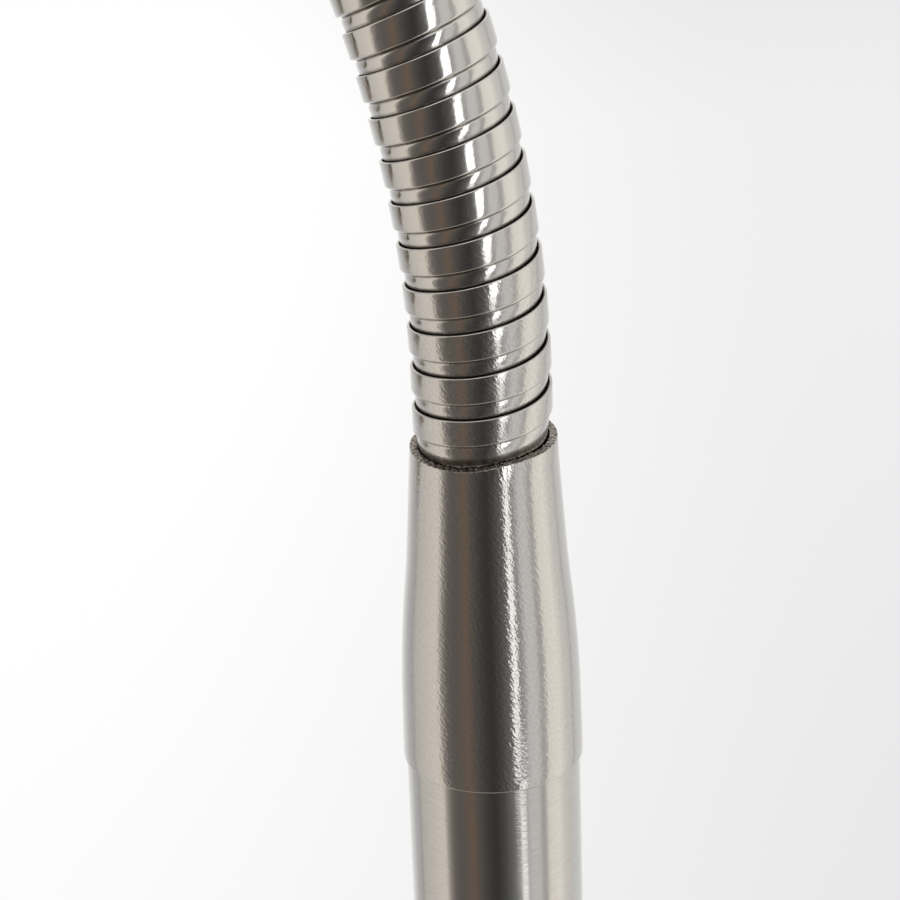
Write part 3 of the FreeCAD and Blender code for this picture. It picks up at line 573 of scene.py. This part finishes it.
# the outer radius at a height above the foot, from slopes that change evenly between stations
def sleeveRadius(height):
    radius = sleeve["footRadius"]
    for (low, slopeLow), (high, slopeHigh) in zip(sleeve["slopes"], sleeve["slopes"][1:]):
        run = min(height, high) - low
        if run <= 0:
            break
        start = math.tan(math.radians(slopeLow))
        rise = math.tan(math.radians(slopeHigh)) - start
        radius -= start * run + rise * run ** 2 / (2 * (high - low))
    return radius


def turnSleeve(name, finish, sawn):
    length = sleeve["rim"] - sleeve["foot"]
    fillet = sleeve["footRound"]
    inner = sleeve["footRadius"] - fillet
    corners = [(inner, 0)]
    for k in range(1, sleeve["footSteps"] + 1):
        angle = math.radians(90 * k / sleeve["footSteps"])
        corners.append((inner + fillet * math.sin(angle), fillet * (1 - math.cos(angle))))
    outer = [fillet + (length - fillet - sleeve["rimRound"]) * k / sleeve["outerSteps"]
             for k in range(1, sleeve["outerSteps"] + 1)]
    corners += [(sleeveRadius(height), height) for height in outer]
    rimOuter = sleeveRadius(length) - sleeve["rimRound"]
    for k in range(sleeve["sawSteps"] + 1):
        share = k / sleeve["sawSteps"]
        corners.append((rimOuter + (sleeve["rimInner"] - rimOuter) * share, length))
    corners.append((sleeve["rimInner"] - sleeve["rimChamfer"][0], length - sleeve["rimChamfer"][1]))
    corners += [(radius, height) for radius, height in reversed(sleeve["bore"])]
    places = [Vector((radius, 0, height + sleeve["foot"])) * mm for radius, height in corners]
    piece, order = drawOutline(name, places, closed=True)
    wind(piece, sleeve["steps"])
    layMap(piece, order, places, sleeve["steps"], sleeve["footRadius"])
    sawRim(piece)
    piece.data.materials.append(finish)
    piece.data.materials.append(sawn)
    closeAndSmooth(piece, sleeve["edgeAngle"])
    for face in piece.data.polygons:
        if face.center.z / mm > sleeve["rim"] - sleeve["sawnReach"] and face.normal.z > sleeve["sawnFacing"]:
            face.material_index = 1
    return piece


# the rim was sawn by hand: it leans a little, steps once near the front, and its face is rough
def sawRim(piece):
    front = math.radians(studio["front"])
    fine = sleeve["fineSaw"]
    for vertex in piece.data.vertices:
        x, y, z = vertex.co / mm
        near = (z - sleeve["rim"] + sleeve["rimReach"]) / sleeve["rimReach"]
        if near <= 0:
            continue
        turn = math.atan2(y, x) - front
        turn = (turn + math.pi) % (2 * math.pi) - math.pi
        swing = math.tanh(sleeve["rimStep"] * math.sin(turn - math.radians(sleeve["rimTurn"])))
        vertex.co.z += (sleeve["rimLift"] + sleeve["rimLean"] * swing) * near ** 2 * mm
        if near > 0.99:
            rough = noise.noise(Vector((x, y, 0)) / sleeve["sawGrain"])
            finer = noise.noise(Vector((x, y, fine["layer"])) / (sleeve["sawGrain"] / fine["finer"]))
            rough += fine["share"] * finer
            inward = (sleeveRadius(sleeve["rim"] - sleeve["foot"]) - math.hypot(x, y)) / sleeve["rimWall"]
            share = sleeve["sawShares"][0] + sleeve["sawShares"][1] * inward
            vertex.co.z += rough * sleeve["sawDepth"] * share * mm


def turnSleeves(finish, sawn):
    collar = turnSleeve("neck_collar_sleeve", finish, sawn)
    ferrule = copyPiece(collar, "head_ferrule_sleeve", 0, sleeve["twinShift"])
    for vertex in ferrule.data.vertices:
        x, y, z = vertex.co
        vertex.co = Vector((-x, y, neckLength - z))
    for piece, node, body in ((collar, "gooseneck_collar", "neck_base"), (ferrule, "head_ferrule", "head")):
        bendPiece(piece)
        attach(piece, body)
        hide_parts(node)


# steels. A stainless or nickelled steel is a neutral grey mirror with fine lines from the abrasive
# belt, so its reflections are drawn out across the lines. Real lines are finer than the picture can
# show, so these finishes draw them 0.15 to 0.22 mm apart; the grain of the zinc is drawn at 0.6 mm.
roundSteels = {
    "base_steel": {"name": "spun_brushed_stainless", "head": False, "tint": "#CBC8C4", "roughness": 0.27,
                   "grain": 0.22, "length": 16, "depth": 0.9, "contrast": 0.16, "stretch": 0.6},
    "pole_steel": {"name": "belt_brushed_tube", "head": False, "tint": "#CAC7C3", "roughness": 0.13,
                   "grain": 0.22, "length": 1.6, "depth": 9, "contrast": 0.06, "stretch": 0.3},
    "shade_steel": {"name": "spun_shade_steel", "head": True, "tint": "#CBC8C4", "roughness": 0.27,
                    "grain": 0.2, "length": 14, "depth": 0.9, "contrast": 0.16, "stretch": 0.6,
                    "lining": {"tint": "#F0EEE9", "start": 92.0, "roughness": 0.3, "grain": 2.5,
                               "depth": 12}},
    "knob_steel": {"name": "turned_knob_steel", "head": True, "tint": "#CDCAC6", "roughness": 0.2,
                   "grain": 0.15, "length": 6, "depth": 0.8, "contrast": 0.12, "stretch": 0.4},
    "zinc_plate": {"name": "zinc_plated_steel", "head": False, "tint": "#C5C9CE", "roughness": 0.34,
                   "grain": 0.6, "length": 3, "depth": 1.2, "contrast": 0.12, "stretch": 0.2},
}


# what these steels share: how far the lines change tint and gloss, and the size of the worn patches
brushing = {"span": (0.32, 0.68), "lift": 0.35, "gloss": 0.05, "wear": 0.02, "wearLength": 9}


def brushRound(look):
    finish, tree = newTree(look["name"])
    place = addNode(tree, "TexCoord", {}).outputs
    centre = neckEnd if look["head"] else Vector((0, 0, 0))
    tilt = -neckTurn if look["head"] else 0.0
    spindle = Vector((-math.sin(neckTurn), 0, math.cos(neckTurn))) if look["head"] else Vector((0, 0, 1))
    local = addNode(tree, "Mapping", {"vector_type": "TEXTURE", "Location": centre, "Rotation": (0, tilt, 0)},
                    {"Vector": place["Object"]}).outputs[0]
    across = 1 / (look["grain"] * mm)
    along = 1 / (look["length"] * mm)
    reach = addVector(tree, "LENGTH", addVector(tree, "MULTIPLY", local, (1, 1, 0)))
    lines = addNode(tree, "TexNoise", {
        "noise_dimensions": "4D", "Scale": 1.0, "Detail": 2.0, "Roughness": 0.62,
    }, {
        "Vector": addVector(tree, "MULTIPLY", local, (along, along, across)),
        "W": addMath(tree, "MULTIPLY", reach, across),
    }).outputs["Fac"]
    shade = addRange(tree, lines, brushing["span"],
                     (1 - look["contrast"], 1 + look["contrast"] * brushing["lift"]))
    cloudy = addNoise(tree, place["Object"], 1 / (brushing["wearLength"] * mm), 2.0)
    worn = addRange(tree, cloudy, noiseSpan, (-brushing["wear"], brushing["wear"]))
    gloss = addRange(tree, lines, noiseSpan,
                     (look["roughness"] + brushing["gloss"], look["roughness"] - brushing["gloss"]))
    arm = addVector(tree, "SUBTRACT", place["Object"], centre)
    brush = addNode(tree, "VectorTransform", {
        "vector_type": "VECTOR", "convert_from": "OBJECT", "convert_to": "WORLD",
    }, {0: addVector(tree, "CROSS_PRODUCT", spindle, arm)})
    steel = addNode(tree, "BsdfPrincipled", {
        "Metallic": 1.0, "Anisotropic": look["stretch"], "Anisotropic Rotation": 0.25,
    }, {
        "Base Color": multiplyTint(tree, look, shade), "Roughness": addMath(tree, "ADD", gloss, worn),
        "Normal": addRelief(tree, lines, look["depth"]), "Tangent": brush.outputs[0],
    })
    shown = linePaint(tree, look["lining"], place, arm, spindle, steel) if "lining" in look else steel
    addNode(tree, "OutputMaterial", {}, {"Surface": shown.outputs[0]})
    return finish


# white enamel where a surface faces the spindle, from so many millimetres along it
def linePaint(tree, look, place, arm, spindle, steel):
    across = addVector(tree, "DOT_PRODUCT", place["Normal"], arm)
    down = addVector(tree, "DOT_PRODUCT", place["Normal"], spindle)
    along = addVector(tree, "DOT_PRODUCT", arm, spindle)
    inner = addMath(tree, "LESS_THAN", across, addMath(tree, "MULTIPLY", down, along))
    past = addMath(tree, "GREATER_THAN", along, look["start"] * mm)
    lined = addMath(tree, "MULTIPLY", inner, past)
    peel = addNoise(tree, place["Object"], 1 / (look["grain"] * mm), 2.0)
    enamel = addNode(tree, "BsdfPrincipled", {
        "Base Color": hexColour(look["tint"]), "Roughness": look["roughness"],
    }, {"Normal": addRelief(tree, peel, look["depth"])})
    return addNode(tree, "MixShader", {}, {0: lined, 1: steel.outputs[0], 2: enamel.outputs[0]})


# collar: hand-brushed stainless, its lines slanting round the sleeve, with a few small dents;
# the lines are drawn about 0.3 mm apart, coarser than the real ones, so that the picture shows them
collarSteel = {"tint": "#CCC9C5", "roughness": 0.08, "slant": 50, "grain": 0.32, "length": 0.65, "depth": 30,
               "contrast": 0.08, "lift": 0.35, "gloss": 0.06, "crossTwist": -38, "crossShare": 0.35,
               "dents": 1 / 5.5, "dentReach": 0.055, "dentDepth": 16}
slantSpan = (0.34, 0.66)


def slantLines(tree, source, look, twist=0.0):
    angle = math.radians(look["slant"] + twist)
    turned = addNode(tree, "Mapping", {"Rotation": (0, 0, angle)}, {"Vector": source})
    scaled = addVector(tree, "MULTIPLY", turned.outputs[0], (1 / look["length"], 1 / look["grain"], 1))
    return addNoise(tree, scaled, 1.0, 2.0)


def shadeLines(tree, look, lines):
    return addRange(tree, lines, slantSpan, (1 - look["contrast"], 1 + look["contrast"] * look["lift"]))


def brushCollar(look):
    finish, tree = newTree("hand_brushed_stainless")
    surface = addNode(tree, "UVMap", {"uv_map": "surface"}).outputs[0]
    lines = slantLines(tree, surface, look)
    crossed = slantLines(tree, surface, look, look["crossTwist"])
    mixed = addNode(tree, "Mix", {"data_type": "FLOAT", 0: look["crossShare"]}, {2: lines, 3: crossed})
    both = mixed.outputs[0]
    rough = addRange(tree, both, noiseSpan,
                     (look["roughness"] + look["gloss"], look["roughness"] - look["gloss"]))
    spots = addNode(tree, "TexVoronoi", {"Scale": look["dents"], "Randomness": 1.0}, {"Vector": surface})
    dent = addRange(tree, spots.outputs["Distance"], (0.0, look["dentReach"]), (-1.0, 0.0), smooth=True)
    hollow = addRelief(tree, dent, look["dentDepth"])
    steel = addNode(tree, "BsdfPrincipled", {"Metallic": 1.0}, {
        "Base Color": multiplyTint(tree, look, shadeLines(tree, look, both)), "Roughness": rough,
        "Normal": addRelief(tree, both, look["depth"], hollow),
    })
    addNode(tree, "OutputMaterial", {}, {"Surface": steel.outputs[0]})
    return finish


# sawn steel edge: torn, dull and a little rusty, with bright burrs
sawnSteel = {"tones": ("#2B211A", "#D6CEC4"), "levels": (0.4, 0.64), "roughness": 0.42, "grain": 0.28,
             "depth": 70}


def roughenEdge(look):
    finish, tree = newTree("sawn_steel_edge")
    place = addNode(tree, "TexCoord", {}).outputs["Object"]
    torn = addNoise(tree, place, 1 / (look["grain"] * mm), 4.0, 0.7)
    steel = addNode(tree, "BsdfPrincipled", {"Metallic": 1.0, "Roughness": look["roughness"]}, {
        "Base Color": mixTones(tree, torn, look["levels"], look["tones"]),
        "Normal": addRelief(tree, torn, look["depth"]),
    })
    addNode(tree, "OutputMaterial", {}, {"Surface": steel.outputs[0]})
    return finish


# hose: cold-rolled strip. The turns next to the sleeves were brushed with them, the rest keep the
# mill's polish. A brown-black tint in the crease and on the hidden flank is partly old dirt and rolling
# oil and partly painted shade. The lines are drawn 0.3 mm apart, coarser than the real ones. The
# brushed ends are in turns from the strip's own ends.
hoseSteel = {"tint": "#CDCAC6", "roughness": 0.12, "brushed": 0.15, "slant": -50, "grain": 0.3, "length": 0.6,
             "depth": 24, "waveLength": 3.0, "waveDepth": 50, "contrast": 0.08, "lift": 0.3,
             "lowerBrushed": (3.4, 7.0), "upperBrushed": (4, 2)}
# brown-black tint in the crease and on the hidden flank: partly real dirt and oil, partly painted shade
hoseDirtAndShade = {"tint": "#4A3D31", "level": 0.85, "creaseReach": (0.04, 0.14), "flankFade": 0.25,
            "roughness": 0.2, "patches": 0.9, "patchSpan": (0.3, 0.6), "patchLevels": (0.7, 1.0)}


# how far along the strip's outline one of its corners lies, from the free edge
def outlineLength(corner):
    points = [Vector(point) for point in hose["outline"][:corner + 1]]
    return sum((there - here).length for here, there in zip(points, points[1:]))


# how much dirt and painted shade lie on a place of the strip, from its map
def dirtAndShadePlaces(tree, surface, across):
    apart = addMath(tree, "ABSOLUTE", addMath(tree, "SUBTRACT", across, outlineLength(hose["crease"])))
    crease = addRange(tree, apart, hoseDirtAndShade["creaseReach"], (hoseDirtAndShade["level"], 0.0), smooth=True)
    edge = outlineLength(hose["flank"])
    flank = addRange(tree, across, (edge - hoseDirtAndShade["flankFade"], edge + hoseDirtAndShade["flankFade"]),
                     (0.0, hoseDirtAndShade["level"]))
    patches = addNoise(tree, surface, hoseDirtAndShade["patches"], 3.0)
    patchy = addRange(tree, patches, hoseDirtAndShade["patchSpan"], hoseDirtAndShade["patchLevels"])
    return addMath(tree, "MULTIPLY", addMath(tree, "MAXIMUM", crease, flank), patchy)


def polishHose(look):
    finish, tree = newTree("rolled_stainless_strip")
    surface = addNode(tree, "UVMap", {"uv_map": "surface"}).outputs[0]
    parts = addNode(tree, "SeparateXYZ", {}, {0: surface}).outputs
    turnLength = 2 * math.pi * widest(hose["outline"])
    lastTurn = hose["turnsPerLink"] * (len(bends) - 1) + hose["upperTurns"]
    lowerEnd = [turn * turnLength for turn in look["lowerBrushed"]]
    upperEnd = [(lastTurn - turn) * turnLength for turn in look["upperBrushed"]]
    brushed = addMath(tree, "MAXIMUM", addRange(tree, parts["X"], lowerEnd, (1.0, 0.0), smooth=True),
                      addRange(tree, parts["X"], upperEnd, smooth=True))
    lines = slantLines(tree, surface, look)
    lined = addNode(tree, "Mix", {"data_type": "FLOAT", 2: 1.0},
                    {0: brushed, 3: shadeLines(tree, look, lines)})
    # the tint darkens to brown-black in the crease and on the flank: partly dirt, partly painted shade
    dirtAndShade = dirtAndShadePlaces(tree, surface, parts["Y"])
    tint = addNode(tree, "Mix", {"data_type": "RGBA", 7: hexColour(hoseDirtAndShade["tint"])},
                   {0: dirtAndShade, 6: multiplyTint(tree, look, lined.outputs[0])})
    base = addRange(tree, brushed, (0.0, 1.0), (look["roughness"], look["brushed"]))
    waves = addNoise(tree, surface, 1 / look["waveLength"], 4.0, 0.55)
    swell = addRelief(tree, waves, look["waveDepth"])
    cut = addMath(tree, "MULTIPLY", lines, brushed)
    steel = addNode(tree, "BsdfPrincipled", {"Metallic": 1.0}, {
        "Base Color": tint.outputs[2],
        "Roughness": addMath(tree, "MULTIPLY_ADD", dirtAndShade, hoseDirtAndShade["roughness"], base),
        "Normal": addRelief(tree, cut, look["depth"], swell),
    })
    addNode(tree, "OutputMaterial", {}, {"Surface": steel.outputs[0]})
    return finish


# the plainer finishes: two tones mixed by a grain of so many millimetres, a roughness and a relief in microns
plainFinishes = {
    # sand-cast iron under thin black paint: pitted and dull
    "cast_weight": {"name": "painted_cast_iron", "tones": ("#1B1B1C", "#333333"), "metallic": 0.0,
                    "roughness": 0.62, "grain": 1.1, "depth": 120},
    # pressed wool felt: matt, soft and fibrous
    "felt": {"name": "wool_felt", "tones": ("#141414", "#2B2A2A"), "metallic": 0.0, "roughness": 0.95,
             "grain": 0.5, "depth": 180, "sheen": 0.4},
    # moulded nylon: near black with a fine spark-eroded texture
    "black_nylon": {"name": "moulded_nylon", "tones": ("#151516", "#1E1E1F"),
                    "metallic": 0.0, "roughness": 0.42, "grain": 0.3, "depth": 12},
    # extruded PVC jacket: smooth off-white
    "lead_jacket": {"name": "extruded_pvc", "tones": ("#D9D8D2", "#E3E2DD"),
                    "metallic": 0.0, "roughness": 0.38, "grain": 1.5, "depth": 8},
    # pressed phenolic: dark brown-black with a dull gloss and faint flow marks
    "phenolic": {"name": "pressed_phenolic", "tones": ("#17120F", "#241C17"),
                 "metallic": 0.0, "roughness": 0.3, "grain": 2.5, "depth": 10},
    # drawn brass: warm, slightly tarnished
    "brass": {"name": "drawn_brass", "tones": ("#B08D45", "#D2B266"), "metallic": 1.0, "roughness": 0.24,
              "grain": 1.6, "depth": 4},
    # bulb cap of rolled aluminium: pale and satin
    "bulb_metal": {"name": "rolled_aluminium", "tones": ("#C4C5C7", "#DADBDC"),
                   "metallic": 1.0, "roughness": 0.28, "grain": 0.8, "depth": 4},
    # opal glass: white all through, glossy outside
    "opal_glass": {"name": "opal_glass", "tones": ("#EFEEE9", "#F6F5F2"), "metallic": 0.0, "roughness": 0.16,
                   "grain": 12, "depth": 10, "deep": 0.35, "deepReach": 4},
}
plainLevels = (0.35, 0.65)


def plainFinish(look):
    finish, tree = newTree(look["name"])
    place = addNode(tree, "TexCoord", {}).outputs["Object"]
    grain = addNoise(tree, place, 1 / (look["grain"] * mm), 4.0, 0.6)
    rough = addRange(tree, grain, noiseSpan, (look["roughness"] * 1.15, look["roughness"] * 0.85))
    body = addNode(tree, "BsdfPrincipled", {
        "Metallic": look["metallic"], "Sheen Weight": look.get("sheen", 0.0),
        "Subsurface Weight": look.get("deep", 0.0), "Subsurface Radius": [look.get("deepReach", 0) * mm] * 3,
    }, {
        "Base Color": mixTones(tree, grain, plainLevels, look["tones"]), "Roughness": rough,
        "Normal": addRelief(tree, grain, look["depth"]),
    })
    addNode(tree, "OutputMaterial", {}, {"Surface": body.outputs[0]})
    return finish


finishes = {slot: brushRound(look) for slot, look in roundSteels.items()}
finishes.update({slot: plainFinish(look) for slot, look in plainFinishes.items()})
finishes["collar_steel"] = brushCollar(collarSteel)
finishes["hose_strip"] = polishHose(hoseSteel)
sawnEdge = roughenEdge(sawnSteel)
print("finishes mixed:", len(finishes) + 1)

windHose(finishes["hose_strip"])
windAprons(finishes["hose_strip"])
print("hose wound")
turnSleeves(finishes["collar_steel"], sawnEdge)
print("sleeves turned")


# each carried-over node takes the finish of its slot in the record
def dressNodes():
    slots = {part["node"]: part["material_slot"] for part in frame["record"]["subparts"]}
    for name, node in frame["nodes"].items():
        for holder in node.material_slots:
            holder.material = finishes[slots[name]]


dressNodes()
print("nodes dressed")
